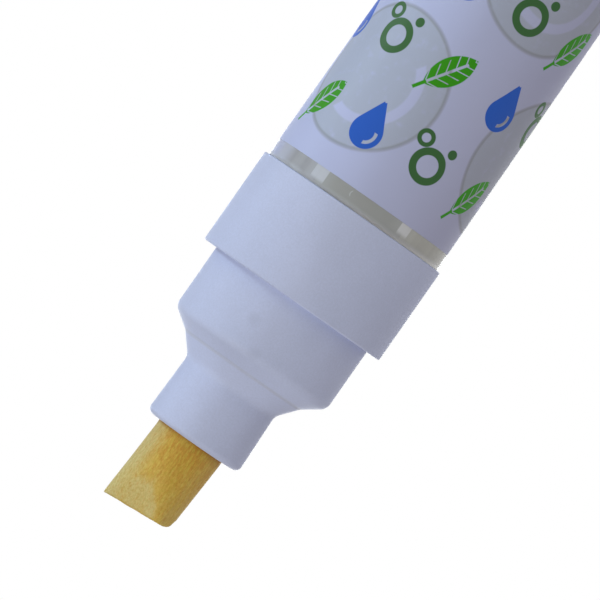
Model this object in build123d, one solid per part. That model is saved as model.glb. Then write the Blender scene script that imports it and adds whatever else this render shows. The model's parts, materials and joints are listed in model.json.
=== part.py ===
from build123d import *

import math
import os

# Valve-action wide marker for invisible ink. The pen stands nib up on its own cap, which is posted
# on the tail spigot. Millimetres, +Z from the cap's flat end to the nib, origin at that end's centre.
# The side of the pen that carries the nib's facet faces -Y.

# Front section, the white moulding behind the nib
collar_diameter = 22.4
collar_length = 11.2
collar_wall = 1.7
collar_front_wall = 1.6
collar_edge_round = 0.2
collar_rear_round = 0.1
cap_step = 1.55
cap_seat_length = 7.35
shoulder_drop = 1.6
shoulder_round = 1.3
throat_drop = 2.15
throat_width = 1.8
throat_round = 1.4
nozzle_length = 7.1
nozzle_wall = 1.3
nozzle_flare = 0.2
nozzle_round = 0.7
seat_wall = 2.2
mouth_land = 2.0
rib_depth = 0.4
rib_width = 0.9
rib_count = 6

# Nib, a round fibre rod with a chisel cut
nib_diameter = 8.0
nib_reach = 9.45
nib_play = 0.3
nib_edge_round = 0.35
nib_heel_chamfer = 0.5
facet_length = 4.7
facet_angle = 22.5
facet_turn = 19.5
tip_slope = 3.0
tip_tilt = 4.8
press_travel = 2.0
press_margin = 0.8

# Barrel, the translucent ink tank
barrel_length = 100.0
barrel_step = 0.6
barrel_draft = 0.6
barrel_wall = 1.3
neck_wall = 1.3
barrel_edge_round = 0.05
neck_chamfer = 0.4
snap_height = 0.25
snap_length = 1.4
snap_from_shoulder = 4.0

# Label, a film wrapped round the barrel with a butt seam at the back
label_thickness = 0.12
label_gap = 0.05
label_tail_margin = 1.0
label_seam = 0.4
band_width = 2.0

# Valve
flange_thickness = 1.2
gasket_thickness = 0.5
cage_wall = 1.3
cage_upper_ring = 3.0
cage_lower_ring = 0.8
post_count = 5
post_angle = 10.0
post_turn = 18.0
guide_wall = 1.1
guide_height = 2.0
lip_width = 0.5
lip_offset = 1.0
lip_height = 0.4
stem_diameter = 3.4
stem_play = 0.1
flute_width = 1.0
flute_depth = 0.7
flute_count = 4
seal_thickness = 0.8
seal_overlap = 0.8
poppet_thickness = 1.0
poppet_margin = 0.2
pin_diameter = 3.6
spring_length = 10.3
spring_wire = 0.6
spring_wire_sides = 8
spring_play = 0.4
spring_active_turns = 5
spring_end_gap = 0.45
cover_thickness = 1.4
cover_boss_height = 2.0
cover_hole_diameter = 2.6
cover_hole_count = 6
snap_bead = 0.3

# Tail plug and mixing ball
spigot_relief = 0.3
spigot_round = 0.8
insert_length = 8.0
plug_wall = 1.4
plug_floor = 1.5
plug_groove_depth = 0.3
plug_groove_width = 1.2
plug_groove_count = 2
ball_diameter = 6.0

# Cap
cap_floor = 1.8
cap_draft = 0.2
cap_end_round = 1.2
cap_taper = 0.6
cap_mouth_relief = 0.6
liner_floor = 1.2
liner_wall = 1.0
liner_relief = 0.1
liner_lip = 1.2
liner_grip = 5.3
nib_headroom = 1.3
fin_count = 6
fin_width = 1.0
fin_height = 9.0

# Clearances
snap_fit = 0.1
plug_fit = 0.05
cap_play = 0.1
seat_gap = 0.02
rest_gap = 0.05
root_sink = 0.2

# Radii that follow from the sizes above
collar_r = collar_diameter / 2
collar_bore_r = collar_r - collar_wall
seat_r = collar_r - cap_step
chamber_r = seat_r - seat_wall
nib_r = nib_diameter / 2
nozzle_bore_r = nib_r + nib_play
root_r = nozzle_bore_r + nozzle_wall
rim_r = root_r + nozzle_flare
break_r = root_r + throat_width
neck_r = collar_bore_r - snap_fit
neck_bore_r = neck_r - neck_wall
barrel_r = collar_r - barrel_step
tail_r = barrel_r - barrel_draft
land_r = barrel_r + label_gap + label_thickness
tank_r = barrel_r - barrel_wall
tail_bore_r = tail_r - barrel_wall
cage_r = neck_bore_r - snap_fit
cage_bore_r = cage_r - cage_wall
stem_r = stem_diameter / 2
guide_bore_r = stem_r + stem_play
lip_r = guide_bore_r + lip_offset
seal_r = lip_r + lip_width + seal_overlap
poppet_r = seal_r + poppet_margin
pin_r = pin_diameter / 2
coil_r = pin_r + spring_play + spring_wire / 2
insert_r = tail_bore_r - plug_fit
plug_bore_r = insert_r - plug_wall
ball_r = ball_diameter / 2
cap_mouth_r = seat_r + cap_play
cap_end_r = collar_r - cap_draft
liner_bore_r = rim_r + liner_relief
liner_r = liner_bore_r + liner_wall

# Heights along the pen, from the cap's flat end up
nozzle_rise = cap_seat_length + shoulder_drop + throat_drop + nozzle_length
cap_length = nozzle_rise + nib_reach + nib_headroom + liner_floor + cap_floor
tail_z = cap_length + rest_gap
shoulder_z = tail_z + barrel_length
land_z = shoulder_z - band_width
seat_z = shoulder_z + collar_length
corner_z = seat_z + cap_seat_length
break_z = corner_z + shoulder_drop
throat_z = break_z + throat_drop
rim_z = throat_z + nozzle_length
tip_z = rim_z + nib_reach
ledge_z = seat_z - collar_front_wall
plate_z = ledge_z - flange_thickness
neck_z = plate_z - gasket_thickness
guide_z = ledge_z + guide_height
heel_z = guide_z + press_travel + press_margin
seal_z = plate_z - lip_height - seat_gap
poppet_z = seal_z - seal_thickness
spring_top_z = poppet_z - poppet_thickness
cover_z = spring_top_z - spring_length
cage_z = cover_z - cover_thickness - snap_bead
spigot_z = tail_z - cap_seat_length + spigot_relief
ball_z = spigot_z + plug_floor + rest_gap + ball_r


def turned(*corners):
    """Solid turned about Z from a closed outline of (radius, height) or (radius, height, rounding)."""
    points = [corner[:2] for corner in corners]
    rounds = [corner[2] if len(corner) > 2 else 0 for corner in corners]
    outline = Plane.XZ * FilletPolyline(*points, radius=rounds, close=True)
    return revolve(make_face(outline), Axis.Z)


def sleeve(inner_r, outer_r, low_z, high_z):
    """Plain turned ring with square edges."""
    return turned((inner_r, low_z), (outer_r, low_z), (outer_r, high_z), (inner_r, high_z))


def rod(radius, low_z, high_z):
    """Plain upright cylinder."""
    return Pos(0, 0, low_z) * Cylinder(radius, high_z - low_z, align=(Align.CENTER, Align.CENTER, Align.MIN))


def fins(count, inner_r, outer_r, width, low_z, high_z):
    """Upright radial fins, evenly spaced round the axis, with the first one on +X."""
    fin = Pos(inner_r, 0, low_z) * Box(
        outer_r - inner_r, width, high_z - low_z, align=(Align.MIN, Align.CENTER, Align.MIN)
    )
    return [Rot(0, 0, 360 * index / count) * fin for index in range(count)]


def make_front_section():
    """Collar, cap seat, two shoulder cones and nozzle in one moulding, hollow for the neck and the ink."""
    body = turned(
        (collar_bore_r, shoulder_z),
        (collar_r, shoulder_z, collar_rear_round),
        (collar_r, seat_z, collar_edge_round),
        (seat_r, seat_z),
        (seat_r, corner_z, shoulder_round),
        (break_r, break_z),
        (root_r, throat_z, throat_round),
        (rim_r, rim_z, nozzle_round),
        (nozzle_bore_r, rim_z),
        (nozzle_bore_r, rim_z - mouth_land),
        (nozzle_bore_r + rib_depth, rim_z - mouth_land - rib_depth),
        (nozzle_bore_r + rib_depth, break_z),
        (chamber_r, break_z - (chamber_r - nozzle_bore_r - rib_depth)),
        (chamber_r, ledge_z),
        (collar_bore_r, ledge_z),
    )
    snap_middle_z = shoulder_z + snap_from_shoulder
    groove_reach = snap_height + snap_length / 2
    groove = turned(
        (collar_bore_r - snap_fit, snap_middle_z - groove_reach),
        (collar_bore_r + snap_height, snap_middle_z - snap_length / 2),
        (collar_bore_r + snap_height, snap_middle_z + snap_length / 2),
        (collar_bore_r - snap_fit, snap_middle_z + groove_reach),
    )
    ribs = fins(
        rib_count, nozzle_bore_r, nozzle_bore_r + rib_depth + root_sink, rib_width,
        break_z, rim_z - mouth_land,
    )
    return body - groove + ribs


def make_nib():
    """Round fibre rod with one shallow facet and a sloping end, soft along its writing edges."""
    blank = rod(nib_r, heel_z, tip_z + nib_r)
    blank = chamfer(blank.edges().sort_by(Axis.Z)[0], nib_heel_chamfer)
    knife = Box(4 * nib_r, 4 * nib_r, 4 * nib_r, align=(Align.CENTER, Align.MAX, Align.CENTER))
    facet = Pos(0, -nib_r, tip_z - facet_length) * Rot(-facet_angle, 0, 0) * knife
    edge_y = -nib_r + facet_length * math.tan(math.radians(facet_angle))
    top_knife = Box(4 * nib_r, 4 * nib_r, 4 * nib_r, align=(Align.CENTER, Align.CENTER, Align.MIN))
    end_cut = Pos(0, edge_y, tip_z) * Rot(-tip_slope, -tip_tilt, 0) * top_knife
    nib = Rot(0, 0, facet_turn) * (blank - facet - end_cut)
    writing_edges = nib.faces().sort_by(Axis.Z)[-1].edges()
    return fillet(writing_edges, nib_edge_round)


def make_barrel():
    """Drafted tank with a bare land flush with the label and a snap neck, open at the tail for the plug."""
    inner_step = tank_r - neck_bore_r
    snap_middle_z = shoulder_z + snap_from_shoulder
    bead_reach = snap_height + snap_length / 2 - snap_fit
    return turned(
        (tail_bore_r, tail_z),
        (tail_r, tail_z),
        (barrel_radius_at(land_z), land_z),
        (land_r, land_z),
        (land_r, shoulder_z, barrel_edge_round),
        (neck_r, shoulder_z),
        (neck_r, snap_middle_z - bead_reach),
        (neck_r + snap_height, snap_middle_z - snap_length / 2 + snap_fit),
        (neck_r + snap_height, snap_middle_z + snap_length / 2 - snap_fit),
        (neck_r, snap_middle_z + bead_reach),
        (neck_r, neck_z - neck_chamfer),
        (neck_r - neck_chamfer, neck_z),
        (neck_bore_r, neck_z),
        (neck_bore_r, shoulder_z - barrel_wall),
        (tank_r, shoulder_z - barrel_wall - inner_step),
    )


def barrel_radius_at(height):
    """Outside radius of the drafted barrel at a height along the pen."""
    return tail_r + barrel_draft * (height - tail_z) / barrel_length


def make_label_sleeve():
    """Thin film that follows the barrel's draft, with its butt seam on +Y."""
    low_z = tail_z + label_tail_margin
    high_z = land_z
    low_r = barrel_radius_at(low_z) + label_gap
    high_r = barrel_radius_at(high_z) + label_gap
    film = turned(
        (low_r, low_z),
        (low_r + label_thickness, low_z),
        (high_r + label_thickness, high_z),
        (high_r, high_z),
    )
    seam = Pos(0, 0, low_z) * Box(
        label_seam, collar_diameter, high_z - low_z, align=(Align.CENTER, Align.MIN, Align.MIN)
    )
    return film - seam


def make_valve_housing():
    """Valve plate with its flange, stem guide and seat lip, over a cage of posts with ink windows."""
    body = turned(
        (guide_bore_r, plate_z),
        (lip_r, plate_z),
        (lip_r, plate_z - lip_height),
        (lip_r + lip_width, plate_z - lip_height),
        (lip_r + lip_width, plate_z),
        (cage_bore_r, plate_z),
        (cage_bore_r, cage_z + snap_bead),
        (cage_bore_r - snap_bead, cage_z + snap_bead),
        (cage_bore_r, cage_z),
        (cage_r, cage_z),
        (cage_r, plate_z),
        (neck_r, plate_z),
        (neck_r, ledge_z),
        (guide_bore_r + guide_wall, ledge_z),
        (guide_bore_r + guide_wall, guide_z),
        (guide_bore_r, guide_z),
    )
    window_pitch = 360 / post_count
    window_outline = Plane.XZ * Polyline(
        (cage_bore_r - root_sink, cover_z + cage_lower_ring),
        (cage_r + root_sink, cover_z + cage_lower_ring),
        (cage_r + root_sink, plate_z - cage_upper_ring),
        (cage_bore_r - root_sink, plate_z - cage_upper_ring),
        close=True,
    )
    window = revolve(make_face(window_outline), Axis.Z, window_pitch - post_angle)
    first_turn = post_turn + post_angle / 2
    windows = [Rot(0, 0, first_turn + window_pitch * index) * window for index in range(post_count)]
    return body - windows


def make_neck_gasket():
    """Flat ring between the neck's end and the valve flange."""
    return sleeve(neck_bore_r, neck_r - neck_chamfer, neck_z, plate_z)


def make_valve_stem():
    """Fluted push rod, poppet disc and the pin that centres the spring."""
    pin_low_z = cover_z + cover_boss_height + press_travel + press_margin
    stem = (
        rod(stem_r, poppet_z, heel_z - rest_gap)
        + rod(poppet_r, spring_top_z, poppet_z)
        + rod(pin_r, pin_low_z, spring_top_z)
    )
    flutes = fins(
        flute_count, stem_r - flute_depth, stem_r + root_sink, flute_width,
        seal_z, heel_z + root_sink,
    )
    return stem - flutes


def make_valve_seal():
    """Rubber washer that the poppet presses against the seat lip."""
    return sleeve(stem_r, seal_r, poppet_z, seal_z)


def helix_point(turns, heights):
    """Point on the spring's centre line, with the height read off (turns, height) stations."""
    for (low_turn, low_z), (high_turn, high_z) in zip(heights, heights[1:]):
        if turns <= high_turn:
            break
    height = low_z + (high_z - low_z) * (turns - low_turn) / (high_turn - low_turn)
    angle = 2 * math.pi * turns
    return Vector(coil_r * math.cos(angle), coil_r * math.sin(angle), height)


def helix_direction(turns, heights, total_turns):
    """Unit tangent of the centre line, with the climb averaged over a quarter turn each side."""
    before = max(turns - 0.25, 0)
    after = min(turns + 0.25, total_turns)
    rise = helix_point(after, heights).Z - helix_point(before, heights).Z
    climb = rise / (after - before) / (2 * math.pi)
    angle = 2 * math.pi * turns
    return Vector(-coil_r * math.sin(angle), coil_r * math.cos(angle), climb).normalized()


def biarc(start, start_direction, end, end_direction):
    """Two tangent arcs from start to end, with equal tangent lengths."""
    chord = end - start
    bend = start_direction + end_direction
    square = bend.dot(bend) - 4
    lean = chord.dot(bend)
    reach = (lean - math.sqrt(lean * lean - square * chord.dot(chord))) / square
    first_corner = start + start_direction * reach
    last_corner = end - end_direction * reach
    joint = (first_corner + last_corner) * 0.5
    return [
        Edge.make_tangent_arc(start, start_direction, joint),
        Edge.make_tangent_arc(joint, last_corner - first_corner, end),
    ]


def make_valve_spring():
    """Compression spring of one unbroken wire, with closer end turns ground flat."""
    end_pitch = spring_wire + spring_end_gap
    total_turns = spring_active_turns + 2
    heights = [
        (0, cover_z),
        (1, cover_z + end_pitch),
        (1 + spring_active_turns, spring_top_z - end_pitch),
        (total_turns, spring_top_z),
    ]
    stations = [quarter / 4 for quarter in range(4 * total_turns + 1)]
    edges = []
    for turn, next_turn in zip(stations, stations[1:]):
        edges += biarc(
            helix_point(turn, heights),
            helix_direction(turn, heights, total_turns),
            helix_point(next_turn, heights),
            helix_direction(next_turn, heights, total_turns),
        )
    path = Wire(edges)
    samples = [path @ (index / 800) for index in range(801)]
    half_turn = 801 // (2 * total_turns)
    nearest = min(
        (samples[low] - samples[high]).length
        for low in range(len(samples))
        for high in range(low + half_turn, len(samples))
    )
    print(f"valve spring: least gap to itself {nearest - spring_wire:.2f} mm")
    start = helix_point(0, heights)
    square_on = Plane(start, x_dir=(1, 0, 0), z_dir=helix_direction(0, heights, total_turns))
    section = square_on * RegularPolygon(spring_wire / 2, spring_wire_sides)
    wire = sweep(section, path=path)
    return wire & rod(coil_r + spring_wire, cover_z, spring_top_z)


def make_valve_cover():
    """Drilled disc snapped into the cage, with the boss that centres the spring's lower end."""
    disc = rod(cage_bore_r - plug_fit, cover_z - cover_thickness, cover_z)
    boss = rod(pin_r, cover_z, cover_z + cover_boss_height)
    hole_circle_r = (coil_r + spring_wire / 2 + cage_bore_r) / 2
    drill = Pos(hole_circle_r, 0, cover_z) * Cylinder(cover_hole_diameter / 2, 3 * cover_thickness)
    drills = [Rot(0, 0, 360 * index / cover_hole_count) * drill for index in range(cover_hole_count)]
    return disc + boss - drills


def make_mixing_ball():
    """Loose ball that lies on the plug's floor."""
    return Pos(0, 0, ball_z) * Sphere(ball_r)


def make_tail_plug():
    """Cup pushed into the barrel's tail, with the spigot that the cap posts on."""
    body = turned(
        (0, spigot_z),
        (seat_r, spigot_z, spigot_round),
        (seat_r, tail_z),
        (insert_r, tail_z),
        (insert_r, tail_z + insert_length),
        (plug_bore_r, tail_z + insert_length),
        (plug_bore_r, spigot_z + plug_floor),
        (0, spigot_z + plug_floor),
    )
    groove_pitch = insert_length / (plug_groove_count + 1)
    for index in range(plug_groove_count):
        middle_z = tail_z + groove_pitch * (index + 1)
        body -= sleeve(
            insert_r - plug_groove_depth, insert_r + root_sink,
            middle_z - plug_groove_width / 2, middle_z + plug_groove_width / 2,
        )
    return body


def make_cap_shell():
    """Drafted cap with a plain mouth for the cap seat and fins that hold its liner."""
    mouth_z = cap_length - cap_seat_length - cap_mouth_relief
    shell = turned(
        (0, 0),
        (cap_end_r, 0, cap_end_round),
        (collar_r, cap_length, collar_edge_round),
        (cap_mouth_r, cap_length),
        (cap_mouth_r, mouth_z),
        (cap_mouth_r - cap_taper, cap_floor),
        (0, cap_floor),
    )
    inner_fins = fins(
        fin_count, liner_r + plug_fit, cap_mouth_r, fin_width,
        cap_floor - root_sink, cap_floor + fin_height,
    )
    return shell + inner_fins


def make_cap_liner():
    """Inner cup whose lip closes on the nozzle when the cap is on the nib."""
    liner_z = cap_length - nozzle_rise + liner_grip
    return turned(
        (0, cap_floor),
        (liner_r, cap_floor),
        (liner_r, liner_z),
        (liner_bore_r + liner_wall / 2, liner_z),
        (liner_bore_r - plug_fit, liner_z - liner_wall / 2),
        (liner_bore_r - plug_fit, liner_z - liner_lip),
        (liner_bore_r, liner_z - liner_lip - plug_fit),
        (liner_bore_r, cap_floor + liner_floor),
        (0, cap_floor + liner_floor),
    )


pieces = {
    "front_section": make_front_section(),
    "nib": make_nib(),
    "barrel": make_barrel(),
    "label_sleeve": make_label_sleeve(),
    "valve_housing": make_valve_housing(),
    "neck_gasket": make_neck_gasket(),
    "valve_stem": make_valve_stem(),
    "valve_seal": make_valve_seal(),
    "valve_spring": make_valve_spring(),
    "valve_cover": make_valve_cover(),
    "mixing_ball": make_mixing_ball(),
    "tail_plug": make_tail_plug(),
    "cap_shell": make_cap_shell(),
    "cap_liner": make_cap_liner(),
}

os.makedirs("parts", exist_ok=True)
for name, piece in pieces.items():
    export_step(piece, f"parts/{name}.step")
    print(f"{name}: {piece.volume:.1f} cubic mm")
print(f"pen: nib tip at {tip_z:.2f}, cap seat from {seat_z:.2f}, cap {cap_length:.2f} long")
print(f"ball: rests at {ball_z:.2f}, room to {cage_z - ball_r:.2f}; spigot end at {spigot_z:.2f}")
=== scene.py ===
"""Dressed model of a wide valve-action marker that stands nib up on its posted cap.

Metres in the row's frame: +Z runs along the pen to the nib's tip and -Y is the side with the nib's facet.
The finishes and pieces work in millimetres, and the studio in metres.
"""

import json
import logging
import math
from dataclasses import dataclass
from enum import Enum

import bmesh
import bpy
from mathutils import Matrix, Vector, noise


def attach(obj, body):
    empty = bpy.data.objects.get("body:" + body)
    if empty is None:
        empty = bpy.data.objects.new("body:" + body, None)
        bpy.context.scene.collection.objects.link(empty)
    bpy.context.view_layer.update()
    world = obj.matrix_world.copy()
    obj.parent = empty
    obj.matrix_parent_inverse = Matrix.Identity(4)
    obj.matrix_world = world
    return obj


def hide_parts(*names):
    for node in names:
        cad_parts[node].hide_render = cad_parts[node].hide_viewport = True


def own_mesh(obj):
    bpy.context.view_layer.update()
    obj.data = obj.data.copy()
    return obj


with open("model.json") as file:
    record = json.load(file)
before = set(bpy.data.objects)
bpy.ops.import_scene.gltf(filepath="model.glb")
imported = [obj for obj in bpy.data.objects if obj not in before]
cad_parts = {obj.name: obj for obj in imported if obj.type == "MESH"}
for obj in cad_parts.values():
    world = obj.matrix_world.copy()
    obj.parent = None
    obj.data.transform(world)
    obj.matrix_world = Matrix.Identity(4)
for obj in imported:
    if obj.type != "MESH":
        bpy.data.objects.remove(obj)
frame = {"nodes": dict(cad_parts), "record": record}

log = logging.getLogger("marker")
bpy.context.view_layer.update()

MM = 0.001
NIB_REACH_MM = 9.45
CUT_FACE = "cut_face"
SENSOR_MM = 36.0
PICTURE_PIXELS = 600.0
CUT_MM = 1e-6
MIX_COLOURS = (6, 7)
MIX_RESULT = 2
Span = tuple[float, float]
Triple = tuple[float, float, float]
Colour = Triple
Socket = bpy.types.NodeSocket
Material = bpy.types.Material
Shape = bmesh.types.BMesh


def linear(red: float, green: float, blue: float) -> Colour:
    """Linear-light colour that shaders take, from 8-bit screen levels."""
    levels = (level / 255 for level in (red, green, blue))
    return tuple(level / 12.92 if level <= 0.04045 else ((level + 0.055) / 1.055) ** 2.4 for level in levels)


def tint(colour: Colour, red: float, green: float, blue: float) -> Colour:
    """Colour with each of its parts scaled."""
    return (colour[0] * red, colour[1] * green, colour[2] * blue)


def shade(colour: Colour, share: float) -> Colour:
    """Colour with all its parts scaled alike."""
    return tint(colour, share, share, share)


class Graph:
    """Short-hand for wiring the nodes of one material or of the world."""

    def __init__(self, tree: bpy.types.NodeTree) -> None:
        """Starts from an empty tree."""
        self.tree = tree
        tree.nodes.clear()

    def add(
        self, kind: str, feeds: dict[str | int, object] | None = None, **settings: object
    ) -> bpy.types.Node:
        """Adds a node.

        Args:
            kind: Blender's name for the node's type.
            feeds: Values, sockets or fields for the node's inputs.
            settings: Properties of the node.

        Returns:
            The new node.
        """
        node = self.tree.nodes.new(kind)
        for name, value in settings.items():
            setattr(node, name, value)
        for name, value in (feeds or {}).items():
            self.feed(node.inputs[name], value)
        return node

    def feed(self, socket: Socket, value: object) -> None:
        """Links a socket or field to an input, or sets the input's own value.

        Args:
            socket: The input.
            value: A field, a socket, a number, or a tuple.
        """
        if isinstance(value, Field):
            value = value.socket
        if isinstance(value, Socket):
            self.tree.links.new(value, socket)
        elif socket.type == "RGBA" and len(value) == 3:
            socket.default_value = (*value, 1.0)
        else:
            socket.default_value = value

    def place(self) -> Socket:
        """Object coordinates, in metres."""
        return self.add("ShaderNodeTexCoord").outputs["Object"]

    def axes_mm(self) -> tuple["Field", "Field", "Field"]:
        """The three object coordinates as fields, in millimetres."""
        split = self.add("ShaderNodeSeparateXYZ", {0: self.place()})
        return tuple(Field(self, socket) * (1.0 / MM) for socket in split.outputs)

    def grain(
        self, scale: Triple, detail: float = 3.0, roughness: float = 0.55, shift: float = 0.0
    ) -> "Field":
        """Soft random field, about 0.5 on average.

        Args:
            scale: Features per metre along X, Y and Z.
            detail: Octaves of finer noise.
            roughness: Weight of the finer octaves.
            shift: Moves the pattern, so that two fields differ.

        Returns:
            The noise as a field.
        """
        mapping = self.add("ShaderNodeMapping", {0: self.place(), "Location": (shift,) * 3, "Scale": scale})
        noise_node = self.add(
            "ShaderNodeTexNoise",
            {"Vector": mapping.outputs[0], "Scale": 1.0, "Detail": detail, "Roughness": roughness},
        )
        return Field(self, noise_node.outputs[0])

    def mix(self, factor: "Field", first: object, second: object, blend: str = "MIX") -> Socket:
        """Colour that goes from first to second as the factor goes from 0 to 1.

        Args:
            factor: The field that mixes them.
            first: Colour or colour socket at 0.
            second: Colour or colour socket at 1.
            blend: Blender's name for the way the second colour is laid on the first.

        Returns:
            The mixed colour's socket.
        """
        node = self.add("ShaderNodeMix", data_type="RGBA", clamp_factor=True, blend_type=blend)
        self.feed(node.inputs["Factor"], factor)
        for number, colour in zip(MIX_COLOURS, (first, second)):
            self.feed(node.inputs[number], colour)
        return node.outputs[MIX_RESULT]

    def bump(self, height: "Field", relief_mm: float) -> Socket:
        """Surface relief from a height field.

        Args:
            height: The field, 0 to 1.
            relief_mm: Relief at 1.

        Returns:
            The bent normal's socket.
        """
        node = self.add("ShaderNodeBump", {"Height": height, "Distance": relief_mm * MM, "Strength": 1.0})
        return node.outputs[0]


@dataclass(frozen=True)
class Field:
    """A number that varies over a surface, with arithmetic that adds math nodes."""

    graph: Graph
    socket: Socket

    def math(self, operation: str, *others: "Field | float") -> "Field":
        """Adds one math node.

        Args:
            operation: Blender's name for the operation.
            others: Second and third operands.

        Returns:
            The result as a field.
        """
        node = self.graph.add("ShaderNodeMath", operation=operation)
        for socket, value in zip(node.inputs, (self, *others)):
            self.graph.feed(socket, value)
        return Field(self.graph, node.outputs[0])

    def __add__(self, other: "Field | float") -> "Field":
        """Sum."""
        return self.math("ADD", other)

    def __sub__(self, other: "Field | float") -> "Field":
        """Difference."""
        return self.math("SUBTRACT", other)

    def __mul__(self, other: "Field | float") -> "Field":
        """Product."""
        return self.math("MULTIPLY", other)

    def __truediv__(self, other: "Field | float") -> "Field":
        """Quotient."""
        return self.math("DIVIDE", other)

    def both(self, other: "Field | float") -> "Field":
        """Larger of two distances: the shape where both are inside."""
        return self.math("MAXIMUM", other)

    def either(self, other: "Field | float") -> "Field":
        """Smaller of two distances: the shape where one or the other is inside."""
        return self.math("MINIMUM", other)

    def stronger(self, other: "Field | float") -> "Field":
        """Larger of two weights."""
        return self.math("MAXIMUM", other)

    def size(self) -> "Field":
        """Value without its sign."""
        return self.math("ABSOLUTE")

    def floor(self) -> "Field":
        """Whole number at or below the value."""
        return self.math("FLOOR")

    def from_middle(self) -> "Field":
        """Where the value lies between two whole numbers, -0.5 to 0.5."""
        return self - self.floor() - 0.5

    def not_zero(self) -> "Field":
        """0 where a field of whole numbers is 0, and 1 where it is anything else."""
        return self.size().ramp(0.4, 0.6)

    def ramp(self, low: float, high: float) -> "Field":
        """Smooth step from 0 at low to 1 at high, clamped, either way round."""
        node = self.graph.add("ShaderNodeMapRange", interpolation_type="SMOOTHSTEP")
        for name, value in (("Value", self), ("From Min", low), ("From Max", high)):
            self.graph.feed(node.inputs[name], value)
        return Field(self.graph, node.outputs[0])

    def spread(self, low: float, high: float) -> "Field":
        """Straight map of 0 to 1 onto low to high."""
        return self * (high - low) + low

    def inked(self, soft: float = 0.04) -> "Field":
        """Printed area of a distance field in millimetres: 1 inside, 0 outside, with a soft edge."""
        return self.ramp(soft, -soft)


def hypot(first: Field, second: Field) -> Field:
    """Length of the two-part vector."""
    return (first * first + second * second).math("SQRT")


def bearing(x: Field, y: Field) -> Field:
    """Angle round the pen in radians, 0 at -Y and growing towards +X."""
    return x.math("ARCTAN2", y * -1.0)


class Finish:
    """Base of the finishes: starts a material and closes it with one principled shader."""

    name: str

    def begin(self) -> Graph:
        """Makes the empty material."""
        material = bpy.data.materials.new(self.name)
        material.use_nodes = True
        return Graph(material.node_tree)

    def close(self, graph: Graph, **sockets: object) -> Material:
        """Adds the shader and the output.

        Args:
            graph: The material's graph.
            sockets: Shader inputs, with the spaces in their names written as underscores.

        Returns:
            The finished material.
        """
        shader = graph.add("ShaderNodeBsdfPrincipled")
        for name, value in sockets.items():
            graph.feed(shader.inputs[name.replace("_", " ")], value)
        graph.add("ShaderNodeOutputMaterial", {"Surface": shader.outputs[0]})
        return next(item for item in bpy.data.materials if item.node_tree == graph.tree)


@dataclass(frozen=True)
class SatinMoulding(Finish):
    """Satin moulded plastic, faintly clouded, with a fine skin, and with painted shade for sink marks and
    crease lines.

    The reach of a mark goes from where it starts to where it is full, and its weight goes with the clouds.
    """

    name: str
    colour: Colour
    roughness: float = 0.52
    roughness_play: float = 0.1
    cloud: float = 0.05
    cloud_scale: Triple = (140.0, 140.0, 90.0)
    cloud_edge: Span = (0.3, 0.7)
    skin_scale: Triple = (5200.0, 5200.0, 5200.0)
    skin_mm: float = 0.01
    sinks_mm: tuple[Triple, ...] = ()
    sink_reach: Span = (1.1, 0.1)
    sink_weight: Span = (0.1, 0.26)
    sink_shade: float = 0.55
    lines_mm: tuple[float, ...] = ()
    line_reach: Span = (0.26, 0.04)
    line_weight: Span = (0.6, 1.3)
    crease_shade: Colour = (0.94, 0.92, 0.87)

    def mark(self, graph: Graph, colour: Socket, clouds: Field) -> Socket:
        """Paints the shade of the sink marks and of the crease lines on a colour.

        Args:
            graph: The material's graph.
            colour: The colour's socket.
            clouds: The field that breaks the marks up.

        Returns:
            The marked colour's socket.
        """
        x, y, z = graph.axes_mm()
        # painted shade of sink marks: darker spots where the dents would be, with no dent in the shape
        for at_x, at_y, at_z in self.sinks_mm:
            away = hypot(hypot(x - at_x, y - at_y), z - at_z)
            sink = away.ramp(*self.sink_reach) * clouds.spread(*self.sink_weight)
            colour = graph.mix(sink, colour, shade(self.colour, self.sink_shade))
        # painted shade of a crease: a dark line round the moulding at each height
        for height in self.lines_mm:
            line = (z - height).size().ramp(*self.line_reach) * clouds.spread(*self.line_weight)
            colour = graph.mix(line, colour, self.crease_shade, "MULTIPLY")
        return colour

    def material(self) -> Material:
        """Builds the material."""
        graph = self.begin()
        clouds = graph.grain(self.cloud_scale, detail=4.0)
        skin = graph.grain(self.skin_scale, detail=2.0, shift=3.1)
        dark = shade(self.colour, 1.0 - 2.0 * self.cloud)
        colour = graph.mix((clouds * 0.5 + skin * 0.5).ramp(*self.cloud_edge), dark, self.colour)
        if self.sinks_mm or self.lines_mm:
            colour = self.mark(graph, colour, clouds)
        return self.close(
            graph,
            Base_Color=colour,
            Roughness=(clouds + skin).spread(self.roughness - self.roughness_play, self.roughness),
            IOR=1.49,
            Specular_IOR_Level=0.14,
            Normal=graph.bump(skin, self.skin_mm),
        )


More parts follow.
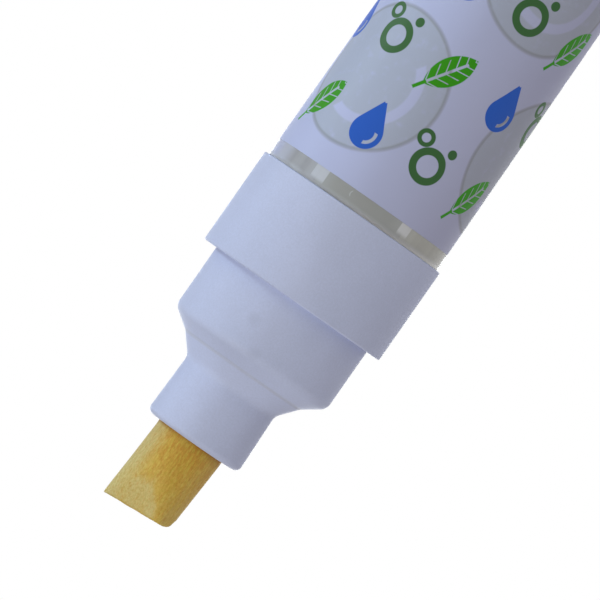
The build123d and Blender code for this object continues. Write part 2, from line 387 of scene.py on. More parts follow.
@dataclass(frozen=True)
class MilkyPlastic(Finish):
    """Milky see-through plastic with lighter bars where white posts behind its wall show through.

    A pair of colours or weights is for the -X side and the +X side. The side windows and the posts are
    painted lighter on the -X side, as painted light and shade. The edges are the +X limb painted paler, and
    then its outermost strip, as painted reflection. Depths are millimetres under the shoulder that the collar
    sits on.
    """

    name: str
    window: Colour
    side_windows_painted_light: tuple[Colour, Colour]
    posts: tuple[Colour, Colour]
    # painted reflection: the +X limb and its outermost strip made paler
    edges: tuple[Colour, Colour]
    shoulder_mm: float
    haze_scale: Triple = (1300.0, 1300.0, 160.0)
    haze_tint: Colour = (0.93, 0.93, 0.94)
    haze_edge: Span = (0.65, 0.35)
    haze_mm: float = 0.002
    swing_mm: Span = (-3.5, 3.5)
    painted_limb_reaches: tuple[Span, Span] = ((8.2, 9.4), (9.5, 10.4))
    bars: int = 6
    half_bars: Span = (0.068, 0.085)
    bar_turns: Span = (0.011, 0.029)
    bar_soft: float = 0.012
    bar_haze: Span = (0.8, 1.15)
    bar_depth: Span = (0.55, 1.15)
    bar_rise: float = 0.3
    bar_least: float = 0.2
    root_depth: Span = (0.25, 0.05)
    root_weight: float = 0.6
    halo_turn: float = 0.13
    halo_reach: Span = (4.8, 5.6)
    halo_weight: Span = (0.12, 0.4)
    collar_light_depth: Span = (0.75, 0.2)
    collar_light_weight: Span = (0.6, 0.3)
    piped_light: Colour = (0.84, 0.84, 0.78)
    piped_depth: Span = (0.42, 0.12)
    piped_weight: Span = (0.72, 0.3)
    # painted glint: a short curved highlight
    glint_mm: Span = (0.95, 1.38)
    glint_radius: float = 0.38
    glint_half: float = 0.05
    glint_end: float = 0.25
    glint_weight: float = 0.7
    scatter_mm: float = 0.8

    def painted_glint(self, x: Field, y: Field, under: Field) -> Field:
        """Weight of a painted glint: a short curved highlight on the -Y side."""
        at_x, at_under = self.glint_mm
        arc = (hypot(x - at_x, under - at_under) - self.glint_radius).size() - self.glint_half
        return arc.both(x * -1.0 + (at_x + self.glint_end)).both(y).inked() * self.glint_weight

    def lit(self, x: Field, under: Field, past_bar: Field, haze: Field, swing: Field) -> Field:
        """Weight of the posts' colour: bars that fade towards the collar, with painted light in a halo beside
        them and along the collar.

        Args:
            x: Place along X.
            under: Depth under the shoulder.
            past_bar: Turn past a bar's edge, less than 0 on the bar.
            haze: The wall's streaks.
            swing: 0 on the -X side and 1 on the +X side.

        Returns:
            The weight.
        """
        bar = past_bar.ramp(0.0, -self.bar_soft) * haze.spread(*self.bar_haze)
        seen = (under + swing * self.bar_rise).ramp(*self.bar_depth)
        seen = seen.stronger(under.ramp(*self.root_depth) * self.root_weight)
        # painted light: a halo beside the bars, stronger towards the +X side
        halo = past_bar.ramp(self.halo_turn, 0.0) * x.ramp(*self.halo_reach).spread(*self.halo_weight)
        # painted light along the collar, where the collar's shade falls on the wall
        collar_light = under.ramp(*self.collar_light_depth) * swing.spread(*self.collar_light_weight)
        return (bar * seen.spread(self.bar_least, 1.0)).stronger(halo).stronger(collar_light)

    def material(self) -> Material:
        """Builds the material."""
        graph = self.begin()
        x, y, z = graph.axes_mm()
        under = z * -1.0 + self.shoulder_mm
        haze = graph.grain(self.haze_scale)
        swing = x.ramp(*self.swing_mm)
        turn = bearing(x, y) * (self.bars / math.tau) + swing.spread(*self.bar_turns)
        past_bar = turn.from_middle().size() - swing.spread(*self.half_bars)
        # the bars with their painted light, plus the painted glint
        light = self.lit(x, under, past_bar, haze, swing).stronger(self.painted_glint(x, y, under))
        beside = (turn + 0.5).floor().not_zero()
        # side windows painted lighter on the -X side: painted light
        plain = graph.mix(beside, self.window, graph.mix(swing, *self.side_windows_painted_light))
        plain = graph.mix(haze.ramp(*self.haze_edge) * beside, plain, self.haze_tint, "MULTIPLY")
        # painted reflection: the +X limb and its outermost strip made paler
        for reach, edge in zip(self.painted_limb_reaches, self.edges):
            plain = graph.mix(x.ramp(*reach), plain, edge)
        # posts painted lighter on the -X side: painted light
        colour = graph.mix(light, plain, graph.mix(swing, *self.posts))
        # painted light near the collar, where the collar's shade falls
        piped = under.ramp(*self.piped_depth) * swing.spread(*self.piped_weight)
        return self.close(
            graph,
            Base_Color=graph.mix(piped, colour, self.piped_light),
            Roughness=haze.spread(0.2, 0.3),
            IOR=1.49,
            Specular_IOR_Level=0.4,
            Transmission_Weight=0.12,
            Subsurface_Weight=0.3,
            Subsurface_Radius=(self.scatter_mm * MM,) * 3,
            Subsurface_Scale=1.0,
            Normal=graph.bump(haze, self.haze_mm),
        )


@dataclass(frozen=True)
class LabelFilm(Finish):
    """Printed film: pale discs under rows of drops, leaves and bubbles that step round the barrel."""

    name: str
    film: Colour
    # painted shade: the film's ground goes darker towards the -X side
    shaded_film: Colour
    faint_print: Colour
    line_print: Colour
    drop_ink: Colour
    leaf_ink: Colour
    bubble_ink: Colour
    radius_mm: float
    front_mm: float
    columns: int = 9
    row_mm: float = 9.4
    margin_mm: float = 1.5
    margin_soft: float = 0.1
    motif_scale: float = 1.2
    shaded_reach: Span = (-9.0, 5.0)
    tone_scale: Triple = (70.0, 70.0, 40.0)
    tone_edge: Span = (0.7, 0.3)
    tone_tint: Colour = (0.965, 0.965, 0.965)
    faint_columns: int = 3
    faint_row_mm: float = 19.0
    faint_radius: float = 8.2
    faint_turn: float = 0.2
    faint_soft: float = 0.15
    rim_half: float = 0.2
    shine_share: float = 0.62
    shine_half: float = 0.55
    shine_slant: Span = (0.8, 0.6)
    shine_end: float = 1.2
    speckle_scale: Triple = (900.0, 900.0, 900.0)
    speckle_edge: Span = (0.0, 0.5)
    skin_scale: Triple = (1500.0, 1500.0, 300.0)
    skin_mm: float = 0.003

    def drop(self, u: Field, v: Field) -> Field:
        """Distance to a drop with its point towards the tail and a bright arc left bare in it."""
        radius, lift, flank_length = 1.55, 0.55, 2.65
        across, along = 0.8844, 0.4667
        arc_radius, arc_half, arc_inset, arc_top = 0.95, 0.15, 0.25, 0.35
        v = v + lift
        side = u.size()
        bowl = hypot(u, v) - radius
        rise = v * across - side * along
        flank = (side * across + v * along - radius).both(rise * -1.0).both(rise - flank_length)
        arc = ((hypot(u, v) - arc_radius).size() - arc_half).both(u + arc_inset).both(v - arc_top)
        return bowl.either(flank).both(arc * -1.0)

    def leaf(self, u: Field, v: Field) -> Field:
        """Distance to a slanted leaf with its midrib and veins left bare, and a short stalk."""
        lean = math.radians(35.0)
        blade_offset, blade_radius = 2.079, 3.329
        rib_half, rib_end = 0.12, 1.7
        vein_pitch, vein_slope, vein_half, vein_reach = 0.95, 0.9, 0.06, 0.95
        stalk_half, stalk_middle, stalk_reach = 0.16, 2.9, 0.65
        a = u * math.cos(lean) + v * math.sin(lean)
        b = v * math.cos(lean) - u * math.sin(lean)
        side = a.size()
        blade = hypot(side + blade_offset, b) - blade_radius
        rib = (side - rib_half).both(b - rib_end)
        slant = (b - side * vein_slope) / vein_pitch
        vein = (slant.from_middle().size() * vein_pitch - vein_half).both(side - vein_reach)
        stalk = (side - stalk_half).both((b + stalk_middle).size() - stalk_reach)
        return blade.both(rib * -1.0).both(vein * -1.0).either(stalk)

    def bubble(self, u: Field, v: Field) -> Field:
        """Distance to a ring with a smaller ring and a dot beside it."""
        ring_radius, ring_half = 1.35, 0.34
        small_u, small_v, small_radius, small_half = 1.55, 2.0, 0.62, 0.2
        dot_u, dot_v, dot_radius = -1.35, 2.05, 0.45
        ring = (hypot(u, v) - ring_radius).size() - ring_half
        small = (hypot(u - small_u, v - small_v) - small_radius).size() - small_half
        dot = hypot(u - dot_u, v - dot_v) - dot_radius
        return ring.either(small).either(dot)

    def discs(self, graph: Graph, film: Socket, around: Field, along: Field, printed: Field) -> Socket:
        """Lays the pale discs on the film, each with a bare highlight and a rim line.

        Args:
            graph: The material's graph.
            film: The film's colour socket.
            around: Place round the barrel.
            along: Place from the first row towards the tail.
            printed: 1 where the film is printed.

        Returns:
            The printed colour's socket.
        """
        tile = math.tau * self.radius_mm / self.faint_columns
        tier = (along / self.faint_row_mm).floor()
        u = ((around + tier * (tile / 2)) / tile + self.faint_turn).from_middle() * tile
        v = along - (tier + 0.5) * self.faint_row_mm
        away = hypot(u, v)
        disc = away - self.faint_radius
        shine = (away - self.faint_radius * self.shine_share).size() - self.shine_half
        slant_u, slant_v = self.shine_slant
        shine = shine.both(u * slant_u + v * slant_v + self.shine_end)
        speckle = graph.grain(self.speckle_scale, detail=2.0, shift=7.7)
        ground = disc.both(shine * -1.0).inked(self.faint_soft) * speckle.ramp(*self.speckle_edge)
        film = graph.mix(ground * printed, film, self.faint_print, "MULTIPLY")
        rim = (disc.size() - self.rim_half).inked(self.faint_soft)
        return graph.mix(rim * printed, film, self.line_print, "MULTIPLY")

    def material(self) -> Material:
        """Builds the material."""
        graph = self.begin()
        x, y, z = graph.axes_mm()
        pitch = math.tau * self.radius_mm / self.columns
        around = bearing(x, y) * self.radius_mm
        along = z * -1.0 + (self.front_mm - self.margin_mm)
        printed = along.ramp(-self.margin_soft, self.margin_soft)
        tone = graph.grain(self.tone_scale, detail=2.0)
        # painted shade: the film goes darker towards the -X side
        film = graph.mix(x.ramp(*self.shaded_reach), self.shaded_film, self.film)
        film = graph.mix(tone.ramp(*self.tone_edge), film, self.tone_tint, "MULTIPLY")
        film = self.discs(graph, film, around, along, printed)

        row = (along / self.row_mm).floor()
        stepped = around + row * (pitch / 2)
        column = (stepped / pitch).floor()
        u = (stepped - (column + 0.5) * pitch) / self.motif_scale
        v = (along - (row + 0.5) * self.row_mm) / self.motif_scale
        inks = ((self.drop, self.drop_ink), (self.leaf, self.leaf_ink), (self.bubble, self.bubble_ink))
        kind = (column + row).math("FLOORED_MODULO", float(len(inks)))
        for number, (motif, ink) in enumerate(inks):
            chosen = (kind - float(number)).not_zero().spread(1.0, 0.0)
            film = graph.mix(motif(u, v).inked() * chosen * printed, film, ink)
        skin = graph.grain(self.skin_scale, detail=2.0, shift=1.9)
        return self.close(
            graph,
            Base_Color=film,
            Roughness=skin.spread(0.38, 0.48),
            IOR=1.5,
            Specular_IOR_Level=0.12,
            Normal=graph.bump(skin, self.skin_mm),
        )


@dataclass(frozen=True)
class NibFibre(Finish):
    """Bundle of yellow fibres pressed along the pen, deeper by the nozzle and paler where it is cut."""

    name: str
    deep: Colour
    mid: Colour
    pale: Colour
    rim_band: Colour
    rim_mm: float
    tip_mm: float
    strand_scale: Triple = (4800.0, 4800.0, 900.0)
    clump_scale: Triple = (1000.0, 1000.0, 300.0)
    fuzz_scale: Triple = (5600.0, 5600.0, 3200.0)
    fleck_scale: Triple = (4600.0, 4600.0, 2000.0)
    cut_break: float = 0.9
    cut_edge: Span = (0.2, 1.0)
    cut_weight: float = 0.7
    # painted sheen on the +X side, where the light grazes the fibre
    painted_sheen_reach: Span = (1.6, 4.0)
    painted_sheen_weight: float = 0.9
    fade_past_tip: float = 3.0
    fade_weight: float = 0.25
    clump_play: Span = (-0.2, 0.2)
    fuzz_play: Span = (-0.15, 0.15)
    wet_under_tip: float = 1.5
    wet_under_rim: float = 1.0
    wet_weight: Span = (0.3, 0.85)
    wet_dried: Span = (1.0, 0.35)
    strand_edge: Span = (0.52, 0.74)
    fleck_edge: Span = (0.5, 0.68)
    fleck_dried: Span = (0.6, 0.3)
    fuzz_share: float = 0.3
    fuzz_edge: Span = (0.62, 0.38)
    fuzz_tint: Colour = (0.84, 0.81, 0.66)
    rim_band_mm: float = 0.45
    rim_band_weight: float = 0.6
    relief_mm: float = 0.07

    def dryness_and_sheen(self, graph: Graph, x: Field, z: Field, clumps: Field) -> Field:
        """Paleness of the fibre where it is cut and towards the tip, where it has dried, with a painted sheen
        that pales the +X side.

        Args:
            graph: The material's graph.
            x: Place along X.
            z: Place along the pen.
            clumps: The field that breaks the cut's edge up.

        Returns:
            The paleness with the painted sheen, 0 to 1.
        """
        cut = Field(graph, graph.add("ShaderNodeAttribute", attribute_name=CUT_FACE).outputs["Fac"])
        cut = (cut + (clumps - 0.5) * self.cut_break).ramp(*self.cut_edge)
        # painted sheen: the +X side made paler where the light grazes it
        painted_sheen = x.ramp(*self.painted_sheen_reach)
        fading = z.ramp(self.rim_mm, self.tip_mm + self.fade_past_tip)
        dry_and_sheen = (cut * self.cut_weight).stronger(painted_sheen * self.painted_sheen_weight)
        return dry_and_sheen.stronger(fading * self.fade_weight)

    def material(self) -> Material:
        """Builds the material."""
        graph = self.begin()
        x, _, z = graph.axes_mm()
        strands = graph.grain(self.strand_scale, roughness=0.65)
        clumps = graph.grain(self.clump_scale, detail=2.0, shift=5.3)
        fuzz = graph.grain(self.fuzz_scale, roughness=0.7, shift=2.2)
        flecks = graph.grain(self.fleck_scale, roughness=0.65, shift=8.1).ramp(*self.fleck_edge)
        dry_and_sheen = self.dryness_and_sheen(graph, x, z, clumps)
        paleness = dry_and_sheen + clumps.spread(*self.clump_play) + fuzz.spread(*self.fuzz_play)
        colour = graph.mix(paleness, self.mid, self.pale)
        wet = z.ramp(self.tip_mm - self.wet_under_tip, self.rim_mm - self.wet_under_rim)
        wet = wet.spread(*self.wet_weight) * dry_and_sheen.spread(*self.wet_dried)
        stray = fuzz * self.fuzz_share
        colour = graph.mix((strands + stray).ramp(*self.strand_edge) * wet, colour, self.deep)
        colour = graph.mix(flecks * dry_and_sheen.spread(*self.fleck_dried), colour, self.deep)
        colour = graph.mix(fuzz.ramp(*self.fuzz_edge), colour, self.fuzz_tint, "MULTIPLY")
        # darker, browner band just above the nozzle's rim
        foot = z.ramp(self.rim_mm + self.rim_band_mm, self.rim_mm) * self.rim_band_weight
        return self.close(
            graph,
            Base_Color=graph.mix(foot, colour, self.rim_band),
            Roughness=strands.spread(0.5, 0.7),
            IOR=1.45,
            Specular_IOR_Level=0.4,
            Sheen_Weight=0.04,
            Sheen_Roughness=0.5,
            Normal=graph.bump(strands * (1.0 - self.fuzz_share) + stray, self.relief_mm),
        )


@dataclass(frozen=True)
class SealRubber(Finish):
    """Black rubber with a dusty bloom."""

    name: str
    colour: Colour
    bloom: Colour
    dust_scale: Triple = (1800.0, 1800.0, 1800.0)
    dust_edge: Span = (0.45, 0.8)
    dust_mm: float = 0.01

    def material(self) -> Material:
        """Builds the material."""
        graph = self.begin()
        dust = graph.grain(self.dust_scale, detail=4.0)
        return self.close(
            graph,
            Base_Color=graph.mix(dust.ramp(*self.dust_edge), self.colour, self.bloom),
            Roughness=dust.spread(0.55, 0.8),
            Normal=graph.bump(dust, self.dust_mm),
        )


@dataclass(frozen=True)
class Steel(Finish):
    """Bare steel with fine drawn or polishing marks."""

    name: str
    colour: Colour
    mark_scale: Triple
    roughness: float
    roughness_play: Span = (0.7, 1.3)
    dullness: float = 0.8
    mark_mm: float = 0.003

    def material(self) -> Material:
        """Builds the material."""
        graph = self.begin()
        marks = graph.grain(self.mark_scale, detail=4.0)
        return self.close(
            graph,
            Base_Color=graph.mix(marks, shade(self.colour, self.dullness), self.colour),
            Metallic=1.0,
            Roughness=marks.spread(*(self.roughness * share for share in self.roughness_play)),
            Normal=graph.bump(marks, self.mark_mm),
        )


def ends_mm(node: str) -> Span:
    """Lowest and highest point of a solid along the pen, in millimetres.

    Args:
        node: The solid's name.

    Returns:
        The two heights.
    """
    heights = [vert.co.z / MM for vert in frame["nodes"][node].data.vertices]
    return min(heights), max(heights)


def dress(node: str, material: Material) -> None:
    """Gives a carried-over solid its finish.

    Args:
        node: The solid's name.
        material: The finish.
    """
    for slot in frame["nodes"][node].material_slots:
        slot.material = material
    log.info("%s: %s", node, material.name)


def slice_off(shape: Shape, at: Vector, outward: Vector) -> None:
    """Slices a shape and closes the cut with one face.

    Args:
        shape: The shape.
        at: A point on the cut.
        outward: The cut's normal, towards the piece that falls off.
    """
    geometry = shape.verts[:] + shape.edges[:] + shape.faces[:]
    result = bmesh.ops.bisect_plane(
        shape, geom=geometry, dist=CUT_MM, plane_co=at, plane_no=outward, clear_outer=True
    )
    rim = [item for item in result["geom_cut"] if isinstance(item, bmesh.types.BMEdge)]
    bmesh.ops.edgeloop_fill(shape, edges=rim)


def split_large_faces(shape: Shape) -> None:
    """Cuts the faces with more than four corners into triangles."""
    bmesh.ops.triangulate(shape, faces=[face for face in shape.faces if len(face.verts) > 4])


def to_metres(shape: Shape) -> None:
    """Scales a finished shape from millimetres and turns its faces outwards."""
    bmesh.ops.scale(shape, verts=shape.verts[:], vec=(MM, MM, MM))
    bmesh.ops.recalc_face_normals(shape, faces=shape.faces[:])


def make_piece(name: str, shape: Shape, material: Material) -> bpy.types.Object:
    """Turns a finished bmesh into a smooth-shaded object.

    Args:
        name: The piece's name.
        shape: The mesh, which is freed.
        material: The finish.

    Returns:
        The object, linked to the scene.
    """
    mesh = bpy.data.meshes.new(name)
    shape.to_mesh(mesh)
    shape.free()
    mesh.materials.append(material)
    mesh.shade_smooth()
    piece = bpy.data.objects.new(name, mesh)
    bpy.context.scene.collection.objects.link(piece)
    log.info("%s: %d faces, %s", name, len(mesh.polygons), material.name)
    return piece


@dataclass
class Nib:
    """Round fibre rod with one shallow facet and a sloping end, worn soft and leaning a little.

    The corner's wear is a row of cuts, each with its angle from the end and its depth.
    """

    finish: NibFibre
    heel_z: float
    rim_z: float
    tip_z: float
    radius: float = 4.0
    trim: float = 1.0
    facet_length: float = 4.7
    facet_angle: float = 22.5
    facet_turn: float = 19.5
    facet_round: float = 0.8
    facet_mark: Span = (-0.4, 1.2)
    tip_slope: float = 3.0
    tip_tilt: float = 4.8
    edge_round: float = 0.15
    edge_steps: int = 4
    merge: float = 1e-4
    corner_wear: tuple[Span, ...] = ((26.5, 0.24), (66.5, 0.31), (77.5, 0.25), (46.0, 0.325))
    lean: float = 3.07
    lean_from: float = 0.6
    shift: float = 0.2
    sides: int = 288
    ring_step: float = 0.15
    ring_depth: float = 2.4
    grid_step: float = 0.25
    grid_limit: float = 0.9
    groove: float = 0.05
    groove_depth: float = 1.0
    groove_length: float = 4.0
    strand_scale: Triple = (4.6, 4.6, 0.35)
    clump_scale: Triple = (1.1, 1.1, 0.16)
    clump_shift: float = 9.0
    clump_weight: float = 0.7

    def score(self, shape: Shape, faces: list, at: Vector, across: Vector) -> None:
        """Adds a line of edges to some faces without cutting anything off.

        Args:
            shape: The rod.
            faces: The faces to score.
            at: A point on the scoring plane.
            across: The plane's normal.
        """
        geometry = set(faces)
        for face in faces:
            geometry.update(face.edges)
            geometry.update(face.verts)
        bmesh.ops.bisect_plane(shape, geom=list(geometry), dist=CUT_MM, plane_co=at, plane_no=across)

    def cut_rod(self, shape: Shape, edge_y: float, end_normal: Vector) -> None:
        """Makes the plain rod, cuts its end and rounds the end's edge.

        Args:
            shape: The empty mesh.
            edge_y: Where the facet meets the end.
            end_normal: The end's normal.
        """
        length = self.tip_z + self.trim - self.heel_z
        bmesh.ops.create_cone(
            shape, cap_ends=True, segments=self.sides, radius1=self.radius, radius2=self.radius, depth=length,
            matrix=Matrix.Translation((0, 0, self.heel_z + length / 2)),
        )
        slice_off(shape, Vector((0, edge_y, self.tip_z)), end_normal)
        shape.normal_update()
        end = max(shape.faces, key=lambda face: face.calc_center_median().z)
        bmesh.ops.bevel(
            shape, geom=end.edges[:], offset=self.edge_round, offset_type="OFFSET", segments=self.edge_steps,
            profile=0.5, affect="EDGES", material=-1, clamp_overlap=True,
        )
        bmesh.ops.remove_doubles(shape, verts=shape.verts[:], dist=self.merge)

    def wear_corner(self, shape: Shape, edge_y: float, end_normal: Vector) -> None:
        """Rounds off the corner that the end makes on the -X side.

        Args:
            shape: The rod, before it is turned to its place.
            edge_y: Where the facet meets the end.
            end_normal: The end's normal.
        """
        turn = Matrix.Rotation(math.radians(-self.facet_turn), 3, "Z")
        side = turn @ Vector((-self.radius, 0, 0))
        drop = (end_normal.x * side.x + end_normal.y * (side.y - edge_y)) / end_normal.z
        corner = Vector((side.x, side.y, self.tip_z - drop))
        for angle, depth in self.corner_wear:
            tilt = math.radians(angle)
            outward = turn @ Vector((-math.sin(tilt), 0, math.cos(tilt)))
            slice_off(shape, corner - outward * depth, outward)
        shape.normal_update()

    def refine(self, shape: Shape, end_normal: Vector) -> None:
        """Adds a grid of edges over the end and rings of edges up the side.

        Args:
            shape: The rod.
            end_normal: The end's normal.
        """
        lines = math.ceil(self.radius / self.grid_step)
        for line in range(-lines, lines + 1):
            for direction in (Vector((1, 0, 0)), Vector((0, 1, 0))):
                ends = [face for face in shape.faces if face.normal.dot(end_normal) > self.grid_limit]
                self.score(shape, ends, direction * (line * self.grid_step), direction)
        up = Vector((0, 0, 1))
        height = self.rim_z - self.ring_depth
        while height < self.tip_z:
            self.score(shape, shape.faces[:], up * height, up)
            height += self.ring_step
        split_large_faces(shape)

    def press_facet(self, shape: Shape, foot: Vector, normal: Vector) -> None:
        """Flattens the rod down to the facet with a soft edge, and marks the flat for the finish to read.

        Args:
            shape: The rod.
            foot: Where the facet starts on the rod's side.
            normal: The facet's normal.
        """
        layer = shape.verts.layers.float.new(CUT_FACE)
        soft = self.facet_round
        low, high = self.facet_mark
        for vert in shape.verts:
            over = (vert.co - foot).dot(normal)
            vert[layer] = min(max((over - soft * low) / (soft * (high - low)), 0.0), 1.0)
            if over >= soft:
                vert.co -= normal * over
            elif over > -soft:
                vert.co -= normal * ((over + soft) ** 2 / (4.0 * soft))

    def roughen(self, shape: Shape) -> None:
        """Sinks grooves between the fibres, and sinks them deeper towards the worn tip."""
        shape.normal_update()
        clump_start = Vector((0, 0, self.clump_shift))
        moves = []
        for vert in shape.verts:
            place = vert.co
            wear = min(max((place.z - self.rim_z + self.groove_depth) / self.groove_length, 0.0), 1.0)
            strand = noise.noise(place * Vector(self.strand_scale))
            clump = noise.noise(place * Vector(self.clump_scale) + clump_start)
            depth = 0.5 + 0.5 * strand + self.clump_weight * max(clump, 0.0)
            moves.append(vert.normal * (-self.groove * wear * depth))
        for vert, move in zip(shape.verts, moves):
            vert.co += move

    def set_in_bore(self, shape: Shape) -> None:
        """Turns the rod to its place and lets it lean in its bore."""
        turn = Matrix.Rotation(math.radians(self.facet_turn), 3, "Z")
        bmesh.ops.rotate(shape, verts=shape.verts[:], matrix=turn)
        slope = math.tan(math.radians(self.lean))
        for vert in shape.verts:
            vert.co.x += self.shift + max(vert.co.z - self.rim_z - self.lean_from, 0.0) * slope

    def build(self) -> bpy.types.Object:
        """Builds the rod.

        Returns:
            The rod, which stands for the plain one.
        """
        shape = bmesh.new()
        facet = math.radians(self.facet_angle)
        foot = Vector((0, -self.radius, self.tip_z - self.facet_length))
        edge_y = -self.radius + self.facet_length * math.tan(facet)
        lean_back = Matrix.Rotation(math.radians(-self.tip_slope), 3, "X")
        lean_side = Matrix.Rotation(math.radians(-self.tip_tilt), 3, "Y")
        end_normal = lean_back @ lean_side @ Vector((0, 0, 1))
        self.cut_rod(shape, edge_y, end_normal)
        self.wear_corner(shape, edge_y, end_normal)
        self.refine(shape, end_normal)
        self.press_facet(shape, foot, Vector((0, -math.cos(facet), math.sin(facet))))
        self.roughen(shape)
        self.set_in_bore(shape)
        to_metres(shape)
        piece = make_piece("nib_fibre_rod", shape, self.finish.material())
        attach(piece, "nib_rod")
        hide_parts("nib")
        return piece


@dataclass
class FrontSection:
    """White stepped moulding that carries the nib."""

    finish: SatinMoulding

    def build(self) -> None:
        """Dresses the moulding."""
        dress("front_section", self.finish.material())


@dataclass
class Barrel:
    """Ink tank with its printed film and tail plug."""

    wall: MilkyPlastic
    film: LabelFilm
    plug: SatinMoulding

    def build(self) -> None:
        """Dresses the tank, the film and the plug."""
        dress("barrel", self.wall.material())
        dress("label_sleeve", self.film.material())
        dress("tail_plug", self.plug.material())


@dataclass
class Valve:
    """Valve behind the nib, and the mixing ball in the tank."""

    plastic: SatinMoulding
    rubber: SealRubber
    spring: Steel
    ball: Steel
    wire: float = 0.6
    wire_sides: int = 16
    end_gap: float = 0.45
    free_turns: int = 5
    steps: int = 48
    merge: float = 1e-5

    def coil(self, shape: Shape, radius: float, low: float, high: float) -> None:
        """Winds round wire up the pen's axis, with closer turns at both ends.

        Args:
            shape: The empty mesh.
            radius: The coil's radius to the middle of the wire.
            low: The spring's lower end.
            high: The spring's upper end.
        """
        stand = Matrix.Translation((radius, 0, low)) @ Matrix.Rotation(math.pi / 2, 4, "X")
        bmesh.ops.create_circle(
            shape, cap_ends=False, segments=self.wire_sides, radius=self.wire / 2, matrix=stand
        )
        first = shape.edges[:]
        last = first
        end_pitch = self.wire + self.end_gap
        free_pitch = (high - low - 2 * end_pitch) / self.free_turns
        for turns, pitch in ((1, end_pitch), (self.free_turns, free_pitch), (1, end_pitch)):
            wound = bmesh.ops.spin(
                shape, geom=last, cent=(0, 0, 0), axis=(0, 0, 1), dvec=(0, 0, pitch / self.steps),
                angle=math.tau * turns, steps=turns * self.steps, use_duplicate=False,
            )
            last = [item for item in wound["geom_last"] if isinstance(item, bmesh.types.BMEdge)]
        for rim in (first, last):
            bmesh.ops.edgeloop_fill(shape, edges=rim)

    def wind_spring(self) -> bpy.types.Object:
        """Winds the spring from round wire and grinds its ends flat.

        Returns:
            The spring, which stands for the plain one.
        """
        low, high = ends_mm("valve_spring")
        radius = max(vert.co.x for vert in frame["nodes"]["valve_spring"].data.vertices) / MM - self.wire / 2
        shape = bmesh.new()
        self.coil(shape, radius, low, high)
        for height, outward in ((low, -1.0), (high, 1.0)):
            slice_off(shape, Vector((0, 0, height)), Vector((0, 0, outward)))
        bmesh.ops.remove_doubles(shape, verts=shape.verts[:], dist=self.merge)
        split_large_faces(shape)
        to_metres(shape)
        piece = make_piece("valve_spring_wire", shape, self.spring.material())
        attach(piece, "pen")
        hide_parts("valve_spring")
        joints = frame["record"]["behaviour"]["joints"]
        press = next(joint["range_m"][1] for joint in joints if joint["name"] == "nib_press") / MM
        1.0 - press / (high - low)
        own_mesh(piece)
        return piece

    def build(self) -> None:
        """Dresses the valve's pieces and winds its spring."""
        plastic = self.plastic.material()
        for node in ("valve_housing", "valve_stem", "valve_cover"):
            dress(node, plastic)
        rubber = self.rubber.material()
        for node in ("neck_gasket", "valve_seal"):
            dress(node, rubber)
        dress("mixing_ball", self.ball.material())
        self.wind_spring()


@dataclass
class Cap:
    """Cap posted on the tail, with its inner cup."""

    shell: SatinMoulding
    liner: SatinMoulding

    def build(self) -> None:
        """Dresses the shell and the cup."""
        dress("cap_shell", self.shell.material())
        dress("cap_liner", self.liner.material())


@dataclass(frozen=True)
class Softbox:
    """Round soft light, in metres and watts."""

    place: Triple
    power: float
    width: float
    colour: Colour


class Lamp(Enum):
    """The room's softboxes."""

    KEY = Softbox((0.307, -0.532, 0.575), 3.03, 0.42, (0.99, 1.0, 0.95))
    LOW = Softbox((0.489, -0.017, 0.041), 0.70, 0.08, (0.70, 0.875, 1.0))
    SIDE = Softbox((-0.702, 0.061, 0.402), 1.15, 0.42, (1.0, 0.94, 0.90))
    BACK = Softbox((0.02, 0.86, 0.24), 2.2, 0.50, (0.92, 0.97, 1.0))


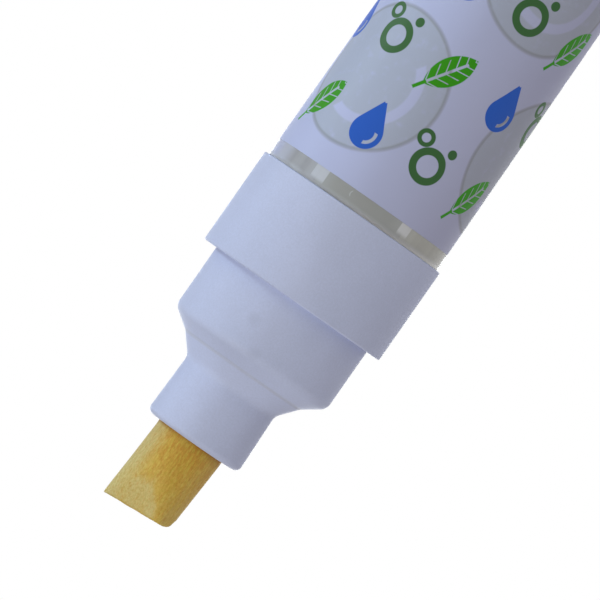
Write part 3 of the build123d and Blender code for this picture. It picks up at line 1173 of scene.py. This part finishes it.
@dataclass
class Studio:
    """White room: floor, soft light and the camera at the photograph's angle. Lengths are metres."""

    rim_z: float
    fill: float = 0.235
    fill_colour: Colour = (1.0, 0.90, 0.84)
    air_colour: Colour = (1.0, 1.0, 1.0)
    floor_size: float = 1.5
    floor_cells: int = 8
    floor_colour: Colour = (0.86, 0.87, 0.88)
    floor_scale: Triple = (60.0, 60.0, 60.0)
    floor_shade: float = 0.98
    floor_glow: float = 0.69
    glow_colour: Colour = (0.87, 0.957, 1.0)
    aim: Triple = (0.0, 0.0, 0.145)
    camera_away: float = 0.7
    camera_aside: float = -0.00075
    camera_under_rim: float = 0.01868
    pixels_per_mm: float = 9.5
    roll: float = 55.05

    def seen(self, graph: Graph) -> Field:
        """1 for rays that show the room itself: straight to the camera, mirrored or through a clear piece."""
        rays = graph.add("ShaderNodeLightPath")
        shown = Field(graph, rays.outputs["Is Camera Ray"])
        for name in ("Is Glossy Ray", "Is Transmission Ray"):
            shown = shown.stronger(Field(graph, rays.outputs[name]))
        return shown

    def world(self) -> None:
        """White to the eye, and a plain even fill to the object."""
        world = bpy.data.worlds.new("studio_air")
        world.use_nodes = True
        graph = Graph(world.node_tree)
        shown = self.seen(graph)
        colour = graph.mix(shown, self.fill_colour, self.air_colour)
        strength = shown.spread(self.fill, 1.0)
        air = graph.add("ShaderNodeBackground", {"Color": colour, "Strength": strength})
        graph.add("ShaderNodeOutputWorld", {"Surface": air.outputs[0]})
        bpy.context.scene.world = world

    def floor(self) -> None:
        """Pale floor that clips to white except where the object shades it."""
        shape = bmesh.new()
        cells = self.floor_cells
        bmesh.ops.create_grid(shape, x_segments=cells, y_segments=cells, size=self.floor_size)
        material = bpy.data.materials.new("studio_floor")
        material.use_nodes = True
        graph = Graph(material.node_tree)
        paper = graph.grain(self.floor_scale, detail=2.0)
        tone = graph.mix(paper, shade(self.floor_colour, self.floor_shade), self.floor_colour)
        matte = graph.add("ShaderNodeBsdfDiffuse", {"Color": tone})
        glow = graph.add(
            "ShaderNodeEmission",
            {"Color": self.glow_colour, "Strength": self.seen(graph) * self.floor_glow},
        )
        both = graph.add("ShaderNodeAddShader", {0: matte.outputs[0], 1: glow.outputs[0]})
        graph.add("ShaderNodeOutputMaterial", {"Surface": both.outputs[0]})
        floor = make_piece("studio_floor", shape, material)

    def lamps(self) -> None:
        """Hangs the softboxes."""
        for lamp in Lamp:
            box = lamp.value
            light = bpy.data.lights.new(f"softbox_{lamp.name.lower()}", "AREA")
            light.shape = "DISK"
            light.size = box.width
            light.energy = box.power
            light.color = box.colour
            holder = bpy.data.objects.new(light.name, light)
            holder.location = box.place
            toward = Vector(self.aim) - Vector(box.place)
            holder.rotation_euler = toward.to_track_quat("-Z", "Y").to_euler()
            holder.visible_camera = False
            bpy.context.scene.collection.objects.link(holder)

    def camera(self) -> None:
        """Long lens square on to the pen, rolled so that the nib points down to the left."""
        data = bpy.data.cameras.new("photo_camera")
        data.sensor_width = SENSOR_MM
        data.lens = self.pixels_per_mm * self.camera_away / MM * SENSOR_MM / PICTURE_PIXELS
        camera = bpy.data.objects.new("photo_camera", data)
        roll = math.radians(self.roll)
        right = Vector((-math.sin(roll), 0.0, -math.cos(roll)))
        up = Vector((math.cos(roll), 0.0, -math.sin(roll)))
        back = Vector((0.0, -1.0, 0.0))
        turn = Matrix((right, up, back)).transposed().to_4x4()
        place = Vector((self.camera_aside, -self.camera_away, self.rim_z - self.camera_under_rim))
        camera.matrix_world = Matrix.Translation(place) @ turn
        bpy.context.scene.collection.objects.link(camera)
        bpy.context.scene.camera = camera

    def build(self) -> None:
        """Sets the room up."""
        bpy.context.scene.view_settings.view_transform = "Standard"
        self.world()
        self.floor()
        self.lamps()
        self.camera()


def nib_finish(rim_mm: float, tip_mm: float) -> NibFibre:
    """Yellow fibre, with its wet and dry colours."""
    return NibFibre(
        "nib_fibre",
        deep=linear(188, 134, 44),
        mid=linear(203, 175, 72),
        pale=linear(200, 190, 135),
        rim_band=linear(162, 108, 40),
        rim_mm=rim_mm,
        tip_mm=tip_mm,
    )


def wall_finish(shoulder_mm: float) -> MilkyPlastic:
    """Grey milky wall of the tank, as it shows in the bare band."""
    return MilkyPlastic(
        "barrel_plastic",
        window=(0.352, 0.368, 0.372),
        # side windows and posts, each a pair painted lighter on the -X side: painted light and shade
        side_windows_painted_light=((0.462, 0.472, 0.448), (0.333, 0.342, 0.372)),
        posts=((0.63, 0.65, 0.69), (0.55, 0.59, 0.67)),
        # painted reflection on the +X limb, then on its outermost strip
        edges=((0.43, 0.46, 0.57), (0.37, 0.42, 0.66)),
        shoulder_mm=shoulder_mm,
    )


def film_finish(white: Colour, front_mm: float) -> LabelFilm:
    """White film printed in blue, two greens and pale grey."""
    return LabelFilm(
        "label_film",
        film=tint(white, 0.87, 0.87, 0.935),
        # painted shade of the film on the -X side
        shaded_film=tint(white, 0.80, 0.765, 0.79),
        faint_print=(0.86, 0.88, 0.78),
        line_print=(0.76, 0.75, 0.69),
        drop_ink=linear(44, 92, 190),
        leaf_ink=linear(52, 142, 22),
        bubble_ink=linear(58, 98, 58),
        radius_mm=10.7,
        front_mm=front_mm,
    )


def main() -> None:
    """Builds the room and dresses the marker, sub-assembly by sub-assembly."""
    logging.basicConfig(level=logging.INFO, format="%(name)s: %(message)s")
    white = (0.512, 0.566, 0.783)
    # places of the sink marks, painted as darker spots of shade
    sinks_mm = ((1.96, -9.45, 147.1), (-0.1, -9.5, 150.0))
    # height of the crease between the two cones, painted as a line of shade
    cone_line_mm = 152.2
    shoulder_mm, rim_mm = ends_mm("front_section")
    heel_mm = ends_mm("nib")[0]
    tip_mm = rim_mm + NIB_REACH_MM
    Studio(rim_mm * MM).build()
    Nib(nib_finish(rim_mm, tip_mm), heel_mm, rim_mm, tip_mm).build()
    FrontSection(
        SatinMoulding("white_moulding", white, sinks_mm=sinks_mm, lines_mm=(cone_line_mm,))
    ).build()
    Barrel(
        wall_finish(shoulder_mm),
        film_finish(white, ends_mm("label_sleeve")[1]),
        SatinMoulding("plug_moulding", white),
    ).build()
    Valve(
        SatinMoulding("valve_plastic", (0.70, 0.72, 0.74), roughness=0.4),
        SealRubber("seal_rubber", (0.02, 0.02, 0.02), (0.06, 0.06, 0.06)),
        Steel("spring_steel", (0.55, 0.55, 0.56), (900.0, 900.0, 5000.0), 0.3),
        Steel("ball_steel", (0.62, 0.62, 0.64), (3000.0, 3000.0, 3000.0), 0.14),
    ).build()
    Cap(
        SatinMoulding("cap_moulding", white),
        SatinMoulding("liner_plastic", (0.66, 0.68, 0.70), roughness=0.5),
    ).build()


if __name__ == "__main__":
    main()
